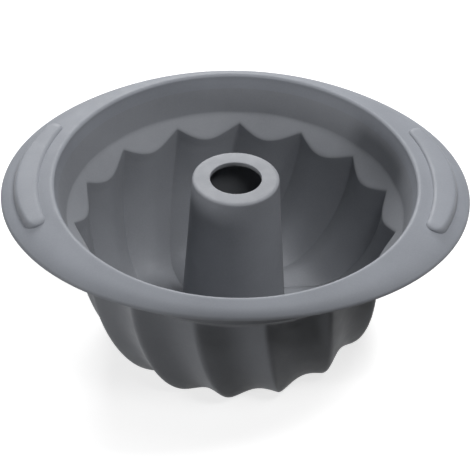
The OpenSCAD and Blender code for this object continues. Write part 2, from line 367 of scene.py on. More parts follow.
class StudioSettings(bpy.types.PropertyGroup):
    """Camera, floor and lamps"""

    lens: FloatProperty(
        name="Lens", description="Focal length of the camera in millimetres", default=153.19)
    camera_place: FloatVectorProperty(
        name="Camera place", description="Where the camera stands",
        default=(-0.01174, -0.96098, 0.84962), subtype="TRANSLATION")
    camera_turn: FloatVectorProperty(
        name="Camera turn", description="How the camera is turned",
        default=(math.radians(50.984), math.radians(-0.8856), math.radians(0.0187)), subtype="EULER")
    floor_size: FloatProperty(
        name="Floor size", description="Side of the floor", default=8.0, unit="LENGTH")
    floor_colour: FloatVectorProperty(
        name="Floor", description="Colour of the floor",
        default=(0.60, 0.60, 0.60), subtype="COLOR", size=3)
    floor_glow: FloatProperty(
        name="Floor glow", description="Light added to the floor where it is seen", default=0.75)
    floor_dim: FloatProperty(
        name="Floor return", description="Grey of the floor where light falls back from it", default=0.05)
    ambient: FloatProperty(
        name="Ambient", description="Strength of the even light from all round", default=0.01)
    shift: FloatVectorProperty(
        name="Shift", description="Shift of the camera's picture, across and up",
        default=(0.0006, -0.0013), size=2)


def sizes(context):
    """The settings on the scene, by short name"""
    scene = context.scene
    return scene.mould_bowl, scene.mould_chimney, scene.mould_rim, scene.mould_grips


# Rules that the packed part's sizes follow


def inner_face(bowl, z):
    """Radius of the collar's inner face at a height"""
    return bowl.opening_r - bowl.collar_taper * (bowl.height - z) / bowl.collar_h


def shoulder_line(bowl, r, under=False):
    """Height of the shoulder's upper or under side at a radius"""
    slope = math.tan(bowl.shoulder_slope)
    shoulder_r = bowl.opening_r - bowl.collar_taper
    drop = bowl.wall / math.cos(bowl.shoulder_slope) if under else 0
    return bowl.height - bowl.collar_h - (shoulder_r - r) * slope - drop


def cone_radius(bowl, chimney, z):
    """Radius of the chimney's outer face at a height"""
    low = foot_height(bowl, chimney) + bowl.base_depth
    high = chimney.top_z - chimney.cap_t
    return chimney.foot_r + (chimney.top_r - chimney.foot_r) * max(0.0, z - low) / (high - low)


def base_height(bowl):
    """Height of the creases on the lowest ring"""
    return bowl.base_t - bowl.outer_soft * bowl.base_depth - bowl.land_cut


def foot_height(bowl, chimney):
    """Height of the creases where the floor meets the chimney"""
    return base_height(bowl) + chimney.foot_rise


# Rows of the profiles that are swept round the axis


def row(r, z, **more):
    """One row of a profile; what isn't named is nought"""
    return [{"r": r, "z": z, **more}.get(name, 0.0) for name in ROW]


def between(a, b, t):
    """Row a share t of the way from a to b"""
    return [x + (y - x) * t for x, y in zip(a, b)]


def run(a, b, steps):
    """Rows from a to b, without a itself"""
    return [between(a, b, i / steps) for i in range(1, steps + 1)]


def corner(a, b, c, reach, steps):
    """Rows that round the corner b between a and c, beginning and ending a reach away from b"""
    def cut(end):
        length = math.hypot(end[0] - b[0], end[1] - b[1])
        return between(b, end, min(0.5, reach / max(length, 1e-9)))
    start, stop = cut(a), cut(c)
    rows = []
    for i in range(steps + 1):
        t = i / steps
        rows.append(between(between(start, b, t), between(b, stop, t), t))
    return rows


def wall_row(bowl, angle, out, soft, ridge):
    """Row of the fluted wall at an angle down its quarter ellipse, moved outwards by out"""
    top_r = bowl.opening_r - bowl.collar_taper - bowl.shoulder_w
    top_z, low_z = shoulder_line(bowl, top_r, under=True), base_height(bowl)
    tall, wide = top_z - low_z, top_r - bowl.base_r
    square_r, square_z = tall * math.cos(angle), -wide * math.sin(angle)
    length = math.hypot(square_r, square_z)
    square_r, square_z = square_r / length, square_z / length
    # The upper edge follows the shoulder's slope, and soon turns square to the wall
    t = min(1.0, angle / SQUARE_TURN)
    t = t * t * (3 - 2 * t)
    lift_z = -math.tan(bowl.shoulder_slope) * (1 - t) - square_z * t
    share = angle / (math.pi / 2)
    fade = 1 - (1 - bowl.base_depth / bowl.flute_depth) * share * share
    r = bowl.base_r + wide * math.cos(angle) + out * square_r
    z = low_z + tall * (1 - math.sin(angle)) + out * square_z
    return row(r, z, lift_r=-square_r * fade, lift_z=lift_z * fade, soft=soft,
               swirl=bowl.wall_swirl * share ** WALL_SWIRL_POWER, ridge=ridge)


def floor_row(bowl, chimney, v, up, soft, ridge):
    """Row of the fluted floor at a share v of the way in to the chimney, lifted by up"""
    fade = bowl.base_depth / bowl.flute_depth * (1 - bowl.floor_fade * v * v)
    r = bowl.base_r + (chimney.foot_r - bowl.base_r) * v
    z = base_height(bowl) + chimney.foot_rise * v * v + up
    swirl = bowl.wall_swirl + bowl.floor_swirl * v ** FLOOR_SWIRL_POWER
    return row(r, z, lift_z=fade, soft=soft, swirl=swirl, ridge=ridge)


def wall_thickness(bowl, angle):
    """Thickness of the wall, which grows towards the base"""
    return bowl.wall + (bowl.base_t - bowl.wall) * math.sin(angle) ** BASE_GROWTH_POWER


def bowl_rows(bowl, chimney):
    """Closed profile of the bowl: down the inside, across to the chimney and back up the outside"""
    slope = math.tan(bowl.shoulder_slope)
    shoulder_r = bowl.opening_r - bowl.collar_taper
    crease_r = shoulder_r - bowl.shoulder_w
    bead_z, collar_z = BEAD_LOW.z, bowl.height - bowl.collar_h
    inner, outer = bowl.inner_soft, bowl.outer_soft
    turn = bowl.wall_swirl + bowl.floor_swirl
    down = [math.pi / 2 * i / WALL_ROWS for i in range(WALL_ROWS + 1)]

    # Inside: collar, shoulder and the rounded edge of the fluted mouth
    rim = row(inner_face(bowl, bead_z), bead_z, soft=inner)
    ledge = row(shoulder_r, collar_z, soft=inner)
    mouth = row(crease_r, shoulder_line(bowl, crease_r), lift_r=-1, lift_z=-slope, soft=inner)
    throat = wall_row(bowl, 0, 0, inner, 0)
    rows = [rim] + run(rim, between(rim, ledge, 0.9), steps=3)
    rows += corner(rim, ledge, mouth, LEDGE_ROUND, steps=5)
    rows += run(rows[-1], between(ledge, mouth, 0.6), steps=4)
    rounded = corner(ledge, mouth, throat, bowl.mouth_round, MOUTH_ROWS)
    for i, rounded_row in enumerate(rounded):
        rounded_row[ROW.index("edge")] = MOUTH_RUB * math.sin(math.pi * i / MOUTH_ROWS)
    rows += rounded
    # Inner rows take ridge -1, which darkens their creases: painted shade
    rows += [wall_row(bowl, a, 0, inner, -1) for a in down if a > 0]

    # Floor, the rounded foot and a short piece of the chimney
    rows += [floor_row(bowl, chimney, i / FLOOR_ROWS, 0, inner, -1) for i in range(1, FLOOR_ROWS - 1)]
    foot_z = foot_height(bowl, chimney)
    join_z = foot_z + bowl.base_depth + chimney.join
    foot = row(chimney.foot_r, foot_z + FOOT_LIFT, lift_z=FOOT_FLUTE_SHARE,
               soft=inner, swirl=turn, ridge=-1)
    neck = row(cone_radius(bowl, chimney, join_z), join_z, soft=inner, swirl=turn)
    rows += corner(rows[-1], foot, neck, chimney.foot_round, steps=7)
    rows += run(rows[-1], neck, steps=3)

    # Under side of the chimney's foot
    hollow = row(neck[0] - bowl.wall, join_z, soft=outer, swirl=turn)
    low = foot_z - bowl.base_t
    heel = row(chimney.foot_r - bowl.wall, low, soft=outer, swirl=turn)
    toe = row(chimney.foot_r, low, soft=outer, swirl=turn)
    under = floor_row(bowl, chimney, 1, -bowl.base_t, outer, 1)
    rows += [hollow] + run(hollow, between(hollow, heel, 0.9), steps=3)
    rows += corner(hollow, heel, toe, HEEL_ROUND, steps=4)
    rows += [toe] + run(toe, under, steps=2)

    # Outside: floor, wall, the shoulder's under side and the collar
    for i in range(FLOOR_ROWS - 1, 0, -1):
        rows.append(floor_row(bowl, chimney, i / FLOOR_ROWS, -bowl.base_t, outer, 1))
    for a in reversed(down):
        if a > FIRST_OUTER_ROW:
            rows.append(wall_row(bowl, a, wall_thickness(bowl, a), outer, 1))
    out_r = crease_r + bowl.wall
    brow_z = shoulder_line(bowl, out_r, under=True)
    brow = row(out_r, brow_z, lift_r=-1, lift_z=-slope, soft=outer, ridge=1)
    edge_r = shoulder_r + bowl.wall
    hem = row(edge_r, shoulder_line(bowl, edge_r, under=True), soft=outer)
    waist = row(edge_r, collar_z, soft=outer)
    cuff = row(inner_face(bowl, bead_z) + bowl.wall, bead_z, soft=outer)
    rows += corner(rows[-1], brow, hem, BROW_ROUND, steps=5)
    rows += run(rows[-1], between(brow, hem, 0.75), steps=3)
    rows += corner(brow, hem, waist, HEM_ROUND, steps=6) + [waist]
    rows += run(waist, cuff, steps=4)
    return rows


def chimney_rows(bowl, chimney):
    """Closed profile of the chimney: up the outside, over the plate, through the hole, down the inside"""
    join_z = foot_height(bowl, chimney) + bowl.base_depth + chimney.join
    plate_z = chimney.top_z - chimney.cap_t
    out_low = row(cone_radius(bowl, chimney, join_z), join_z)
    out_high = row(chimney.top_r, plate_z)
    brim = row(chimney.top_r - BRIM_LEAN, chimney.top_z, edge=PLATE_RUB)
    sill = row(chimney.hole_r, chimney.top_z, edge=PLATE_RUB)
    bore = row(chimney.hole_r, plate_z)
    ceiling = row(chimney.top_r - bowl.wall, plate_z)
    in_low = row(out_low[0] - bowl.wall, join_z)
    rows = [out_low] + run(out_low, out_high, steps=10)
    rows += corner(out_high, brim, sill, chimney.cap_round, steps=9)
    rows += run(rows[-1], between(brim, sill, 0.9), steps=3)
    rows += corner(brim, sill, bore, chimney.hole_round, steps=4)
    rows += corner(sill, bore, ceiling, chimney.hole_round, steps=3)
    rows += corner(bore, ceiling, in_low, CEILING_ROUND, steps=5)
    return rows + run(rows[-1], in_low, steps=8)


def flange_fall(f, crown, droop, root, roll):
    """Fall of the flange below the crest at a share f of its width, from the crown's to the edge's"""
    late = f ** roll
    return crown * (1 - late) + droop * late + root * (f - late)


def rim_rows(bowl, rim):
    """Closed profile of the rim: up the inner face, over the crest, out along the flange and back"""
    bead_z, bead_r, top = BEAD_LOW.z, BEAD_HIGH.x, bowl.height
    side_w, more_w = rim.side_reach - bead_r, rim.end_reach - rim.side_reach
    crown_w = bead_r - bowl.opening_r - rim.crest_r
    more_crown = rim.crown_side - rim.crown_end

    def flange(f, down=0.0, out=0.0, edge=0.0):
        """Row at a share f of the flange's width, which the oval widens and lets fall towards the ends"""
        late = f ** rim.roll
        side_root, end_root = rim.root_slope_side * side_w, rim.root_slope * (side_w + more_w)
        z = top - flange_fall(f, rim.crown_end, rim.droop_side, side_root, rim.roll) - down
        return row(bead_r + f * side_w + out, z, wide_r=f * more_w,
                   wide_z=(side_root - end_root) * (f - late),
                   fall=(rim.droop_end - rim.droop_side) * late,
                   pinch=more_crown * (1 - late), edge=edge)

    base = row(inner_face(bowl, bead_z), bead_z)
    step_r = inner_face(bowl, top - rim.crest_r)
    rows = [base] + run(base, row(step_r, top - rim.crest_r), steps=3)
    crest_r = bowl.opening_r + rim.crest_r
    # The crest's rows are lightened with the edge colour: a painted highlight along the crest
    for i in range(1, CREST_ROWS + 1):
        a = math.pi / 2 * i / CREST_ROWS
        r, z = step_r + (crest_r - step_r) * (1 - math.cos(a)), top - rim.crest_r * (1 - math.sin(a))
        rows.append(row(r, z, edge=CREST_HIGHLIGHT * math.sin(2 * a)))
    for i in range(1, CROWN_ROWS + 1):
        s = i / CROWN_ROWS
        bow = (1 + CROWN_EASE) * s * s / (s + CROWN_EASE)
        rows.append(row(crest_r + crown_w * s, top - rim.crown_end * bow, pinch=more_crown * bow))

    # Out along the flange, round its lip and back beneath it
    rows += [flange(i / FLANGE_ROWS) for i in range(1, FLANGE_ROWS - 2)]
    # The lip's foot is lightened strongly: a painted highlight along its lower edge
    lip_top, lip_low = flange(1, edge=LIP_RUB), flange(1, down=rim.lip_h, edge=LIP_FOOT_HIGHLIGHT)
    lip_back = flange(1, down=rim.lip_h, out=-rim.lip_t)
    nook = flange(1, down=rim.flange_t - LIP_FOLD_ROUND, out=-rim.lip_t)
    rows += corner(rows[-1], lip_top, lip_low, rim.lip_r, steps=7)
    rows += corner(lip_top, lip_low, lip_back, LIP_FOLD_ROUND, steps=4)
    rows += corner(lip_low, lip_back, nook, LIP_FOLD_ROUND, steps=4)
    rows += corner(lip_back, nook, flange(0.5, down=rim.flange_t), LIP_FOLD_ROUND, steps=3)
    rows += [flange(i / UNDER_ROWS, down=rim.flange_t) for i in range(UNDER_ROWS - 2, 0, -1)]
    armpit, drop = flange(0, down=rim.flange_t), row(bead_r, bead_z)
    sole = row(bead_r - SOLE_WIDTH, bead_z)
    rows += corner(rows[-1], armpit, drop, ARMPIT_ROUND, steps=4)
    rows += corner(armpit, drop, sole, SOLE_ROUND, steps=4)
    return rows + run(rows[-1], between(sole, base, 0.9), steps=2)


# The tree that sweeps a profile round the axis


def sweep_tree():
    """Geometry nodes that sweep rows into a closed skin: fluted, swirled and drawn out to an oval"""
    tree = bpy.data.node_groups.new("fluted_sweep", "GeometryNodeTree")
    tree.is_modifier = True
    face = tree.interface
    face.new_socket(name="Rows", in_out="INPUT", socket_type="NodeSocketGeometry")
    for name in ("Columns", "Flutes"):
        face.new_socket(name=name, in_out="INPUT", socket_type="NodeSocketInt")
    for name in ("Flute Depth", "Flute Lean", "First Crease", "Crowding", "End Reach", "Side Reach"):
        face.new_socket(name=name, in_out="INPUT", socket_type="NodeSocketFloat")
    face.new_socket(name="Material", in_out="INPUT", socket_type="NodeSocketMaterial")
    face.new_socket(name="Skin", in_out="OUTPUT", socket_type="NodeSocketGeometry")
    nodes, links = tree.nodes, tree.links
    given = nodes.new("NodeGroupInput").outputs

    def put(value, socket):
        if isinstance(value, bpy.types.NodeSocket):
            links.new(value, socket)
        else:
            socket.default_value = value

    def sum_of(operation, *values):
        node = nodes.new("ShaderNodeMath")
        node.operation = operation
        for value, socket in zip(values, node.inputs):
            put(value, socket)
        return node.outputs[0]

    def step(kind, geometry, **settings):
        node = nodes.new(kind)
        for key, value in settings.items():
            if hasattr(node, key):
                setattr(node, key, value)
            else:
                put(value, node.inputs[key])
        put(geometry, node.inputs["Geometry" if "Geometry" in node.inputs else "Mesh"])
        return node.outputs["Geometry" if "Geometry" in node.outputs else "Mesh"]

    # A grid with a column for each place round the axis and a line for each row
    count = nodes.new("GeometryNodeAttributeDomainSize")
    put(given["Rows"], count.inputs["Geometry"])
    row_count = count.outputs["Point Count"]
    grid = nodes.new("GeometryNodeMeshGrid")
    put(sum_of("ADD", given["Columns"], 1), grid.inputs["Vertices X"])
    put(sum_of("ADD", row_count, 1), grid.inputs["Vertices Y"])
    put(1.0, grid.inputs["Size X"])
    put(1.0, grid.inputs["Size Y"])
    place = nodes.new("ShaderNodeSeparateXYZ")
    links.new(nodes.new("GeometryNodeInputPosition").outputs[0], place.inputs[0])
    round_share = sum_of("ADD", place.outputs["X"], 0.5)
    line = sum_of("ROUND", sum_of("MULTIPLY", sum_of("ADD", place.outputs["Y"], 0.5), row_count))
    whole = nodes.new("FunctionNodeFloatToInt")
    put(sum_of("MODULO", line, row_count), whole.inputs[0])

    def from_row(name, kind="FLOAT"):
        """Value of the profile's row that this grid line stands for"""
        sample = nodes.new("GeometryNodeSampleIndex")
        sample.data_type = kind
        put(given["Rows"], sample.inputs["Geometry"])
        if name == "position":
            value = nodes.new("GeometryNodeInputPosition").outputs[0]
        else:
            named = nodes.new("GeometryNodeInputNamedAttribute")
            named.data_type = kind
            named.inputs["Name"].default_value = name
            value = named.outputs["Attribute"]
        put(value, sample.inputs["Value"])
        put(whole.outputs[0], sample.inputs["Index"])
        return sample.outputs["Value"]

    point = nodes.new("ShaderNodeSeparateXYZ")
    put(from_row("position", "FLOAT_VECTOR"), point.inputs[0])

    # Share of the flute's cell, with the columns crowded at the creases, and the bulge across it
    cell = sum_of("MULTIPLY", round_share, given["Flutes"])
    cell_index = sum_of("FLOOR", cell)
    plain = sum_of("SUBTRACT", cell, cell_index)
    wave = sum_of("SINE", sum_of("MULTIPLY", plain, math.tau))
    crowd = sum_of("MULTIPLY", sum_of("MULTIPLY", wave, given["Crowding"]), 1 / math.tau)
    share = sum_of("SUBTRACT", plain, crowd)
    off_middle = sum_of("SUBTRACT", sum_of("MULTIPLY", share, 2), 1)
    lean = sum_of("ADD", 1, sum_of("MULTIPLY", given["Flute Lean"], off_middle))
    half_wave = sum_of("SINE", sum_of("MULTIPLY", share, math.pi))
    arch = sum_of("POWER", sum_of("MAXIMUM", sum_of("MULTIPLY", half_wave, lean), 0), SOFTENING_POWER)
    soft = sum_of("POWER", from_row("soft"), SOFTENING_POWER)
    bulge = sum_of("POWER", sum_of("ADD", arch, soft), 1 / SOFTENING_POWER)
    depth = sum_of("MULTIPLY", bulge, given["Flute Depth"])
    flutes_passed = sum_of("ADD", cell_index, share)
    angle = sum_of("DIVIDE", sum_of("MULTIPLY", flutes_passed, math.tau), given["Flutes"])
    angle = sum_of("ADD", sum_of("ADD", angle, given["First Crease"]), from_row("swirl"))
    cosine, sine = sum_of("COSINE", angle), sum_of("SINE", angle)

    # The oval's radius at this angle, how much wider it is than at the sides, and the fall to the ends
    end, side = given["End Reach"], given["Side Reach"]
    across = sum_of("POWER", sum_of("MULTIPLY", side, cosine), 2)
    along = sum_of("POWER", sum_of("MULTIPLY", end, sine), 2)
    oval = sum_of("DIVIDE", sum_of("MULTIPLY", end, side), sum_of("SQRT", sum_of("ADD", across, along)))
    wider = sum_of("DIVIDE", sum_of("SUBTRACT", oval, side), sum_of("SUBTRACT", end, side))
    near_end = sum_of("POWER", sum_of("DIVIDE", sum_of("MULTIPLY", oval, cosine), end), 2)
    falling = sum_of("POWER", near_end, END_FALL_POWER / 2)
    narrow = sum_of("POWER", sum_of("SUBTRACT", 1, wider), PINCH_POWER)

    radius = sum_of("ADD", point.outputs["X"], sum_of("MULTIPLY", depth, from_row("lift_r")))
    radius = sum_of("ADD", radius, sum_of("MULTIPLY", wider, from_row("wide_r")))
    height = sum_of("ADD", point.outputs["Z"], sum_of("MULTIPLY", depth, from_row("lift_z")))
    height = sum_of("ADD", height, sum_of("MULTIPLY", wider, from_row("wide_z")))
    height = sum_of("SUBTRACT", height, sum_of("MULTIPLY", falling, from_row("fall")))
    height = sum_of("SUBTRACT", height, sum_of("MULTIPLY", narrow, from_row("pinch")))
    height = sum_of("MAXIMUM", height, 0)
    spot = nodes.new("ShaderNodeCombineXYZ")
    put(sum_of("MULTIPLY", radius, cosine), spot.inputs["X"])
    put(sum_of("MULTIPLY", radius, sine), spot.inputs["Y"])
    put(height, spot.inputs["Z"])

    # Marks for the finish: rubbed edges and painted highlights above nought, painted shade in the inner
    # creases below it
    near_crease = sum_of("POWER", sum_of("SUBTRACT", 1, sum_of("MINIMUM", bulge, 1)), CREASE_MARK_POWER)
    mark = sum_of("ADD", from_row("edge"), sum_of("MULTIPLY", near_crease, from_row("ridge")))
    skin = step("GeometryNodeStoreNamedAttribute", grid.outputs["Mesh"],
                data_type="FLOAT", domain="POINT", Name="wear_and_painted_light", Value=mark)
    skin = step("GeometryNodeSetPosition", skin, Position=spot.outputs[0])
    skin = step("GeometryNodeMergeByDistance", skin, Distance=MERGE_GAP)
    skin = step("GeometryNodeRealizeInstances", skin)
    skin = step("GeometryNodeSetMaterial", skin, Material=given["Material"])
    links.new(skin, nodes.new("NodeGroupOutput").inputs["Skin"])
    return tree


def rows_mesh(name, rows):
    """Mesh with a point for each row, whose attributes hold the rest of the row"""
    mesh = bpy.data.meshes.new(name)
    mesh.from_pydata([(r[0], 0, r[1]) for r in rows], [], [])
    for i, key in enumerate(ROW[2:], start=2):
        mesh.attributes.new(key, "FLOAT", "POINT").data.foreach_set("value", [r[i] for r in rows])
    return mesh


# What the tree is told for a piece that has no flutes and is round
PLAIN_AND_ROUND = {
    "Flutes": 12,
    "Flute Depth": 0.0,
    "Flute Lean": 0.0,
    "First Crease": 0.0,
    "Crowding": 0.0,
    "End Reach": 1.2,
    "Side Reach": 1.0,
}


def sweep(name, rows, material, columns, bowl=None, rim=None):
    """Skin swept from rows, as a plain mesh at the origin"""
    piece = bpy.data.objects.new(name, rows_mesh(name, rows))
    bpy.context.scene.collection.objects.link(piece)
    modifier = piece.modifiers.new("sweep", "NODES")
    modifier.node_group = bpy.data.node_groups.get("fluted_sweep") or sweep_tree()
    values = {**PLAIN_AND_ROUND, "Columns": columns, "Material": material}
    if bowl:
        values |= {"Flutes": bowl.flutes, "Flute Depth": bowl.flute_depth, "Flute Lean": bowl.flute_lean,
                   "First Crease": bowl.first_crease, "Crowding": CREASE_CROWDING}
    if rim:
        values |= {"End Reach": rim.end_reach, "Side Reach": rim.side_reach}
    for item in modifier.node_group.interface.items_tree:
        if item.in_out == "INPUT" and item.name in values:
            modifier[item.identifier] = values[item.name]
    bpy.context.view_layer.update()
    ready = piece.evaluated_get(bpy.context.evaluated_depsgraph_get())
    mesh = bpy.data.meshes.new_from_object(ready)
    piece.modifiers.clear()
    piece.data = mesh
    finish_mesh(mesh, material)
    return piece


def finish_mesh(mesh, material):
    """Faces outwards and smooth, with the edges of real corners kept sharp"""
    work = bmesh.new()
    work.from_mesh(mesh)
    if work.calc_volume(signed=True) < 0:
        bmesh.ops.reverse_faces(work, faces=work.faces[:])
    for f in work.faces:
        f.smooth = True
    for e in work.edges:
        e.smooth = len(e.link_faces) == 2 and e.calc_face_angle(0) < SMOOTH_BELOW
    work.to_mesh(mesh)
    work.free()
    mesh.materials.clear()
    mesh.materials.append(material)


# Finishes


class Shader:
    """Short way to write a material's nodes"""

    def __init__(self, name, colour):
        self.material = bpy.data.materials.new(name)
        self.material.use_nodes = True
        self.material.diffuse_color = (*colour, 1)
        self.tree = self.material.node_tree
        self.surface = self.tree.nodes["Principled BSDF"]
        self.place = self.add("ShaderNodeTexCoord").outputs["Object"]

    def add(self, kind, **values):
        """New node with its settings and sockets filled in"""
        node = self.tree.nodes.new(kind)
        for key, value in values.items():
            if hasattr(node, key):
                setattr(node, key, value)
            else:
                self.put(value, node.inputs[key])
        return node

    def put(self, value, socket):
        """Link or number into a socket"""
        if isinstance(value, bpy.types.NodeSocket):
            self.tree.links.new(value, socket)
        else:
            socket.default_value = value

    def noise(self, size, detail=2.0, distortion=0.0):
        """Noise with features of about this size in metres"""
        node = self.add("ShaderNodeTexNoise", Scale=1 / size, Detail=detail, Distortion=distortion)
        self.put(self.place, node.inputs["Vector"])
        return node.outputs["Fac"]

    def spread(self, value, low, high, start=0.0, stop=1.0):
        """Value mapped from low..high to start..stop"""
        node = self.add("ShaderNodeMapRange")
        for socket, number in zip(node.inputs, (value, low, high, start, stop)):
            self.put(number, socket)
        return node.outputs["Result"]

    def sum_of(self, operation, *values):
        """Arithmetic on sockets and numbers"""
        node = self.add("ShaderNodeMath", operation=operation)
        for value, socket in zip(values, node.inputs):
            self.put(value, socket)
        return node.outputs[0]

    def mix(self, share, first, second):
        """Colour between two colours"""
        node = self.add("ShaderNodeMix", data_type="RGBA")
        self.put(share, node.inputs["Factor"])
        for socket, colour in ((node.inputs["A"], first), (node.inputs["B"], second)):
            self.put(colour if isinstance(colour, bpy.types.NodeSocket) else (*colour, 1), socket)
        return node.outputs["Result"]


def tinted(colour, factor):
    """Colour made lighter or darker"""
    return tuple(min(1.0, c * factor) for c in colour)


def silicone(name, colour, finish):
    """Moulded silicone: faint clouding, fine grain, lighter edges that are partly rubbed and partly painted
    highlight, painted shade in the inner creases, and handling marks
    """
    shader = Shader(name, colour)
    cloud = shader.spread(shader.noise(finish.cloud_size, detail=3.0, distortion=0.4), low=0.3, high=0.7)
    dark, pale = CLOUD_TINTS
    tone = shader.mix(cloud, tinted(colour, dark), tinted(colour, pale))
    fleck = shader.spread(shader.noise(finish.fleck_size, detail=3.0), low=0.35, high=0.75)
    tone = shader.mix(shader.sum_of("MULTIPLY", fleck, FLECK_SHARE), tone, tinted(colour, FLECK_TINT))

    # Lighter edges: rubbed edges, and a painted highlight along the crest and the lip's foot
    wear_and_painted_light = shader.add("ShaderNodeAttribute", attribute_name="wear_and_painted_light").outputs["Fac"]
    patch = shader.spread(shader.noise(PATCH_SIZE, detail=4.0, distortion=0.8), 0.35, 0.65, 0.35, 1.0)
    edges = shader.sum_of("MULTIPLY", shader.sum_of("MAXIMUM", wear_and_painted_light, 0), patch)
    wear_and_highlight_mask = shader.sum_of("MULTIPLY", edges, finish.wear_and_highlight)
    tone = shader.mix(wear_and_highlight_mask, tone, tuple(finish.worn_and_highlight_colour))
    # Painted shade: the inner creases are darkened where shade falls in them
    creases = shader.sum_of("MAXIMUM", shader.sum_of("MULTIPLY", wear_and_painted_light, -1), 0)
    painted_crease_shade = shader.sum_of("MULTIPLY", creases, finish.painted_crease_shade)
    tone = shader.mix(shader.sum_of("MULTIPLY", painted_crease_shade, patch), tone, tinted(colour, CREASE_SHADE_TINT))

    smear = shader.spread(shader.noise(finish.smear_size, detail=5.0, distortion=1.6), low=0.5, high=0.72)
    tone = shader.mix(shader.sum_of("MULTIPLY", smear, SMEAR_SHARE), tone, tinted(colour, SMEAR_TINT))
    shader.put(tone, shader.surface.inputs["Base Color"])

    smooth, dull = (finish.roughness + change for change in ROUGHNESS_CHANGES)
    rough = shader.spread(shader.noise(GLINT_SIZE, detail=4.0), 0.3, 0.7, smooth, dull)
    rough = shader.sum_of("SUBTRACT", rough, shader.sum_of("MULTIPLY", smear, SMEAR_POLISH))
    rough = shader.sum_of("SUBTRACT", rough, shader.sum_of("MULTIPLY", wear_and_highlight_mask, WEAR_AND_HIGHLIGHT_POLISH))
    shader.put(rough, shader.surface.inputs["Roughness"])

    grain = shader.noise(finish.grain_size, detail=3.0)
    ripple = shader.noise(RIPPLE_SIZE, detail=2.0)
    relief = shader.sum_of("ADD", grain, shader.sum_of("MULTIPLY", ripple, RIPPLE_SHARE))
    bump = shader.add("ShaderNodeBump", Strength=GRAIN_STRENGTH, Distance=finish.grain_depth)
    shader.put(relief, bump.inputs["Height"])
    shader.put(bump.outputs["Normal"], shader.surface.inputs["Normal"])
    shader.surface.inputs["Specular IOR Level"].default_value = finish.gloss
    shader.surface.inputs["IOR"].default_value = SILICONE_IOR
    return shader.material


def drawn_steel(finish):
    """Wire of the ring: brushed along, with a few darker streaks"""
    colour = tuple(finish.steel_colour)
    shader = Shader("ring_wire_steel", colour)
    streak = shader.spread(shader.noise(STREAK_SIZE, detail=4.0, distortion=2.0), low=0.3, high=0.7)
    dark, pale = STREAK_TINTS
    tone = shader.mix(streak, tinted(colour, dark), tinted(colour, pale))
    shader.put(tone, shader.surface.inputs["Base Color"])
    rough = shader.spread(shader.noise(WIRE_GLINT_SIZE, detail=2.0), 0.3, 0.7, *WIRE_ROUGHNESS)
    shader.put(rough, shader.surface.inputs["Roughness"])
    bump = shader.add("ShaderNodeBump", Strength=SCRATCH_STRENGTH, Distance=SCRATCH_DEPTH)
    shader.put(shader.noise(SCRATCH_SIZE, detail=2.0), bump.inputs["Height"])
    shader.put(bump.outputs["Normal"], shader.surface.inputs["Normal"])
    shader.surface.inputs["Metallic"].default_value = 1.0
    return shader.material


# Operators


def seat(piece, slot, *nodes):
    """The piece rides on the mould and stands for these nodes, which are hidden; the slot is not used"""
    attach(piece, "root")
    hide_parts(*nodes)


class MOULD_OT_bowl(bpy.types.Operator):
    """Build the collar, shoulder and twisted fluted bowl as one swept skin"""

    bl_idname = "mould.build_bowl"
    bl_label = "Fluted bowl"

    def execute(self, context):
        bowl, chimney, _, _ = sizes(context)
        finish = context.scene.mould_finish
        # The bowl's skin takes the darker copy of the rim's colour: painted shade
        skin = silicone("bowl_silicone", tuple(finish.bowl_colour_shaded), finish)
        rows = bowl_rows(bowl, chimney)
        piece = sweep("fluted_bowl_skin", rows, skin, bowl.flutes * bowl.columns, bowl=bowl)
        flutes = [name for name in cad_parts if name.startswith("flute_")]
        seat(piece, "silicone_bowl", "collar", "shoulder", *flutes)
        return {"FINISHED"}


class MOULD_OT_chimney(bpy.types.Operator):
    """Build the hollow chimney and its plate with the round hole"""

    bl_idname = "mould.build_chimney"
    bl_label = "Chimney"

    def execute(self, context):
        bowl, chimney, _, _ = sizes(context)
        finish = context.scene.mould_finish
        # The chimney takes the darker copy of the rim's colour: painted shade
        skin = silicone("chimney_silicone", tuple(finish.bowl_colour_shaded), finish)
        piece = sweep("chimney_skin", chimney_rows(bowl, chimney), skin, chimney.columns)
        seat(piece, "silicone_chimney", "chimney", "chimney_cap")
        return {"FINISHED"}


class MOULD_OT_rim(bpy.types.Operator):
    """Build the bead, the oval flange and its turned-down lip"""

    bl_idname = "mould.build_rim"
    bl_label = "Rim and flange"

    def execute(self, context):
        bowl, _, rim, _ = sizes(context)
        finish = context.scene.mould_finish
        skin = silicone("rim_silicone", tuple(finish.rim_colour), finish)
        piece = sweep("rim_flange_skin", rim_rows(bowl, rim), skin, rim.columns, rim=rim)
        seat(piece, "silicone_rim", "rim_bead", "rim_flange")
        return {"FINISHED"}


class MOULD_OT_grips(bpy.types.Operator):
    """Build the raised grip pads on the flange's two ends"""

    bl_idname = "mould.build_grips"
    bl_label = "Grip pads"

    def execute(self, context):
        bowl, _, rim, grips = sizes(context)
        finish = context.scene.mould_finish
        skin = silicone("grip_silicone", tuple(finish.rim_colour), finish)
        for side, node in ((1, "grip_pad_right"), (-1, "grip_pad_left")):
            piece = grip_pad(node + "_skin", side, bowl, rim, grips, skin)
            seat(piece, "silicone_grip", node)
        return {"FINISHED"}


class MOULD_OT_ring(bpy.types.Operator):
    """Give the hidden stiffening ring its steel"""

    bl_idname = "mould.dress_ring"
    bl_label = "Stiffening ring"

    def execute(self, context):
        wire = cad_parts["stiffening_ring"]
        wire.data.materials.clear()
        wire.data.materials.append(drawn_steel(context.scene.mould_finish))
        return {"FINISHED"}


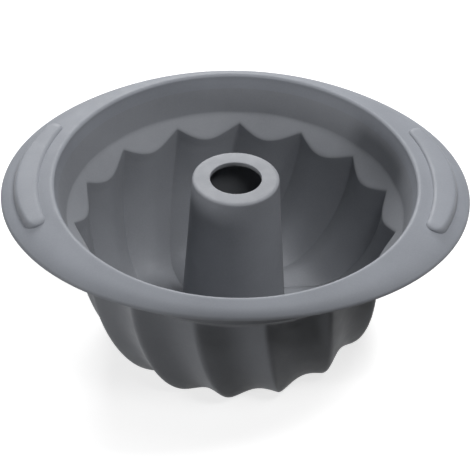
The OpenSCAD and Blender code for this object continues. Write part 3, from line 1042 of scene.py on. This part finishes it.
class MOULD_OT_studio(bpy.types.Operator):
    """Set the floor, the lamps and the camera"""

    bl_idname = "mould.build_studio"
    bl_label = "Studio"

    def execute(self, context):
        studio = context.scene.mould_studio
        floor = pale_floor(studio)
        soft_world(context.scene, studio)
        for settings in LAMPS:
            lamp(*settings)
        camera = bpy.data.cameras.new("camera")
        camera.lens, camera.sensor_width, camera.clip_start = studio.lens, 36, 0.05
        camera.shift_x, camera.shift_y = studio.shift
        holder = bpy.data.objects.new("camera", camera)
        holder.location, holder.rotation_euler = studio.camera_place, studio.camera_turn
        context.scene.collection.objects.link(holder)
        context.scene.camera = holder
        context.scene.view_settings.view_transform = "Standard"
        return {"FINISHED"}


# Grip pads


def flange_edge(rim, a):
    """Radius of the flange's outline at an angle"""
    end, side = rim.end_reach, rim.side_reach
    return end * side / math.hypot(side * math.cos(a), end * math.sin(a))


def flange_height(bowl, rim, a, r):
    """Height of the flange's upper side at an angle and a radius"""
    bead_r, edge = BEAD_HIGH.x, flange_edge(rim, a)
    f = (r - bead_r) / (edge - bead_r)
    near_end = (edge * math.cos(a) / rim.end_reach) ** END_FALL_POWER
    droop = rim.droop_side + (rim.droop_end - rim.droop_side) * near_end
    wider = (edge - rim.side_reach) / (rim.end_reach - rim.side_reach)
    side_root = rim.root_slope_side * (rim.side_reach - bead_r)
    end_root = rim.root_slope * (rim.end_reach - bead_r)
    root = side_root + (end_root - side_root) * wider
    return bowl.height - flange_fall(f, rim.crown_end, droop, root, rim.roll)


def grip_pad(name, side, bowl, rim, grips, material):
    """Pad lofted along its arc, with a rounded upper edge and round ends, its foot let into the flange"""
    verts, wear_and_painted_light = [], []
    for i in range(PAD_STATIONS + 1):
        s = -math.cos(math.pi * i / PAD_STATIONS)
        end = min(1.0, max(0.0, (abs(s) - PAD_STRAIGHT) / (1 - PAD_STRAIGHT)))
        width = max(PAD_LEAST_WIDTH, (1 - end ** PAD_END_POWER) ** (1 / PAD_END_POWER))
        turn = grips.turn + s * grips.half_angle
        inner = bowl.opening_r + grips.inset
        outer = flange_edge(rim, turn) - grips.margin
        middle, half = (inner + outer) / 2, (outer - inner) / 2 * width
        crest = min(1.0, PAD_END_HEIGHT + (1 - PAD_END_HEIGHT) * width)
        for j in range(PAD_COLUMNS + 1):
            f, rise = pad_section(j / PAD_COLUMNS, half, grips)
            r = middle + f * half
            tall = (grips.in_h + (grips.out_h - grips.in_h) * (f + 1) / 2) * crest
            z = flange_height(bowl, rim, abs(turn), r) + tall * rise - grips.sink
            verts.append((side * r * math.cos(turn), r * math.sin(turn), z))
            wear_and_painted_light.append(PAD_RUB * math.sin(math.pi * rise) if rise < 1 else 0.0)

    # Quads over the pad, a strip along its foot and a closed face at each end
    line = PAD_COLUMNS + 1
    faces = [(i * line + j, i * line + j + 1, (i + 1) * line + j + 1, (i + 1) * line + j)
             for i in range(PAD_STATIONS) for j in range(PAD_COLUMNS)]
    faces += [(i * line, (i + 1) * line, (i + 2) * line - 1, (i + 1) * line - 1)
              for i in range(PAD_STATIONS)]
    faces += [tuple(range(line)), tuple(range(PAD_STATIONS * line, (PAD_STATIONS + 1) * line))[::-1]]
    mesh = bpy.data.meshes.new(name)
    mesh.from_pydata(verts, [], faces)
    mesh.attributes.new("wear_and_painted_light", "FLOAT", "POINT").data.foreach_set("value", wear_and_painted_light)
    work = bmesh.new()
    work.from_mesh(mesh)
    bmesh.ops.recalc_face_normals(work, faces=work.faces[:])
    work.to_mesh(mesh)
    work.free()
    finish_mesh(mesh, material)
    piece = bpy.data.objects.new(name, mesh)
    bpy.context.scene.collection.objects.link(piece)
    return piece


def pad_section(t, half, grips):
    """Place across a pad from -1 to 1 and share of its height, for a share t of the way over it"""
    rounding = min(0.9, grips.edge_round / half)
    if PAD_WALL_SHARE <= t <= 1 - PAD_WALL_SHARE:
        return (1 - rounding) * (t - 0.5) / (0.5 - PAD_WALL_SHARE), 1.0
    side, draft = (-1, grips.in_draft) if t < 0.5 else (1, grips.out_draft)
    u = min(t, 1 - t) / PAD_WALL_SHARE
    bend = 2 * u * (1 - u)
    lean = bend * rounding * draft / grips.edge_round
    return side * (1 - lean - u * u * rounding), bend + u * u


# Studio

# Of each lamp: name, elevation and azimuth in degrees, side in metres, power in watts
LAMPS = (
    ("lamp_top", 85, 90, 1.1, 8.0),
    ("lamp_right", 61, 0, 0.35, 12.0),
    ("lamp_front", 60, 294, 0.4, 7.0),
    ("lamp_back", 28, 96, 0.7, 24.0),
    ("lamp_left", 8, 208, 0.25, 9.0),
)


def lamp(name, elevation, azimuth, size, power):
    """Square soft lamp, at the lamps' distance from the mould and aimed at it"""
    light = bpy.data.lights.new(name, "AREA")
    light.shape, light.size, light.energy = "SQUARE", size, power
    holder = bpy.data.objects.new(name, light)
    up, turn = math.radians(elevation), math.radians(azimuth)
    away = Vector((math.cos(up) * math.cos(turn), math.cos(up) * math.sin(turn), math.sin(up)))
    holder.location = LAMP_AIM + LAMP_DISTANCE * away
    holder.rotation_euler = (-away).to_track_quat("-Z", "Y").to_euler()
    bpy.context.scene.collection.objects.link(holder)


def seen(tree):
    """1 where the camera, a mirror or glass looks, and 0 where light falls"""
    path = tree.nodes.new("ShaderNodeLightPath")
    both = None
    for name in ("Is Camera Ray", "Is Glossy Ray", "Is Transmission Ray"):
        if both is None:
            both = path.outputs[name]
            continue
        node = tree.nodes.new("ShaderNodeMath")
        node.operation, node.use_clamp = "ADD", True
        tree.links.new(both, node.inputs[0])
        tree.links.new(path.outputs[name], node.inputs[1])
        both = node.outputs[0]
    return both


def pale_floor(studio):
    """Floor that looks nearly white, keeps the shadow and throws little light back"""
    half = studio.floor_size / 2
    mesh = bpy.data.meshes.new("studio_floor")
    corners = [(-half, -half, 0), (half, -half, 0), (half, half, 0), (-half, half, 0)]
    mesh.from_pydata(corners, [], [(0, 1, 2, 3)])
    material = bpy.data.materials.new("studio_floor")
    material.use_nodes = True
    tree = material.node_tree
    surface = tree.nodes["Principled BSDF"]
    surface.inputs["Base Color"].default_value = (*studio.floor_colour, 1)
    surface.inputs["Roughness"].default_value = FLOOR_ROUGHNESS
    surface.inputs["Specular IOR Level"].default_value = FLOOR_GLOSS
    glow = tree.nodes.new("ShaderNodeEmission")
    glow.inputs["Strength"].default_value = studio.floor_glow
    both = tree.nodes.new("ShaderNodeAddShader")
    tree.links.new(surface.outputs[0], both.inputs[0])
    tree.links.new(glow.outputs[0], both.inputs[1])
    choice = tree.nodes.new("ShaderNodeMixShader")
    tree.links.new(seen(tree), choice.inputs["Fac"])
    dim = tree.nodes.new("ShaderNodeBsdfDiffuse")
    dim.inputs["Color"].default_value = (*[studio.floor_dim] * 3, 1)
    tree.links.new(dim.outputs[0], choice.inputs[1])
    tree.links.new(both.outputs[0], choice.inputs[2])
    tree.links.new(choice.outputs[0], tree.nodes["Material Output"].inputs["Surface"])
    mesh.materials.append(material)
    floor = bpy.data.objects.new("studio_floor", mesh)
    bpy.context.scene.collection.objects.link(floor)
    return floor


def soft_world(scene, studio):
    """White where it is seen, and a low even light elsewhere"""
    world = bpy.data.worlds.new("studio")
    world.use_nodes = True
    scene.world = world
    tree = world.node_tree
    even = tree.nodes["Background"]
    even.inputs["Strength"].default_value = studio.ambient
    even.inputs["Color"].default_value = (1, 1, 1, 1)
    white = tree.nodes.new("ShaderNodeBackground")
    white.inputs["Strength"].default_value = 1.0
    path = tree.nodes.new("ShaderNodeLightPath")
    choice = tree.nodes.new("ShaderNodeMixShader")
    tree.links.new(path.outputs["Is Camera Ray"], choice.inputs["Fac"])
    tree.links.new(even.outputs[0], choice.inputs[1])
    tree.links.new(white.outputs[0], choice.inputs[2])
    tree.links.new(choice.outputs[0], tree.nodes["World Output"].inputs["Surface"])


class MOULD_PT_panel(bpy.types.Panel):
    """Kugelhopf mould"""

    bl_idname = "MOULD_PT_panel"
    bl_label = "Kugelhopf Mould"
    bl_space_type = "VIEW_3D"
    bl_region_type = "UI"
    bl_category = "Kugelhopf"

    def draw(self, context):
        for operator in OPERATORS:
            self.layout.operator(operator.bl_idname)
        for name, group in GROUPS.items():
            box = self.layout.box()
            box.label(text=group.__doc__)
            for key in group.__annotations__:
                box.prop(getattr(context.scene, name), key)


GROUPS = {
    "mould_bowl": BowlSizes,
    "mould_chimney": ChimneySizes,
    "mould_rim": RimSizes,
    "mould_grips": GripSizes,
    "mould_finish": SiliconeFinish,
    "mould_studio": StudioSettings,
}
OPERATORS = (
    MOULD_OT_bowl,
    MOULD_OT_chimney,
    MOULD_OT_rim,
    MOULD_OT_grips,
    MOULD_OT_ring,
    MOULD_OT_studio,
)


def register():
    """Make the settings, operators and panel known"""
    for kind in (*GROUPS.values(), *OPERATORS, MOULD_PT_panel):
        bpy.utils.register_class(kind)
    for name, group in GROUPS.items():
        setattr(bpy.types.Scene, name, PointerProperty(type=group))


def unregister():
    """Take them away again"""
    for name in GROUPS:
        delattr(bpy.types.Scene, name)
    for kind in reversed((*GROUPS.values(), *OPERATORS, MOULD_PT_panel)):
        bpy.utils.unregister_class(kind)


def main():
    """Build every piece and the studio"""
    register()
    for operator in OPERATORS:
        group, name = operator.bl_idname.split(".")
        getattr(getattr(bpy.ops, group), name)()
    bpy.context.view_layer.update()


if __name__ == "__main__":
    main()
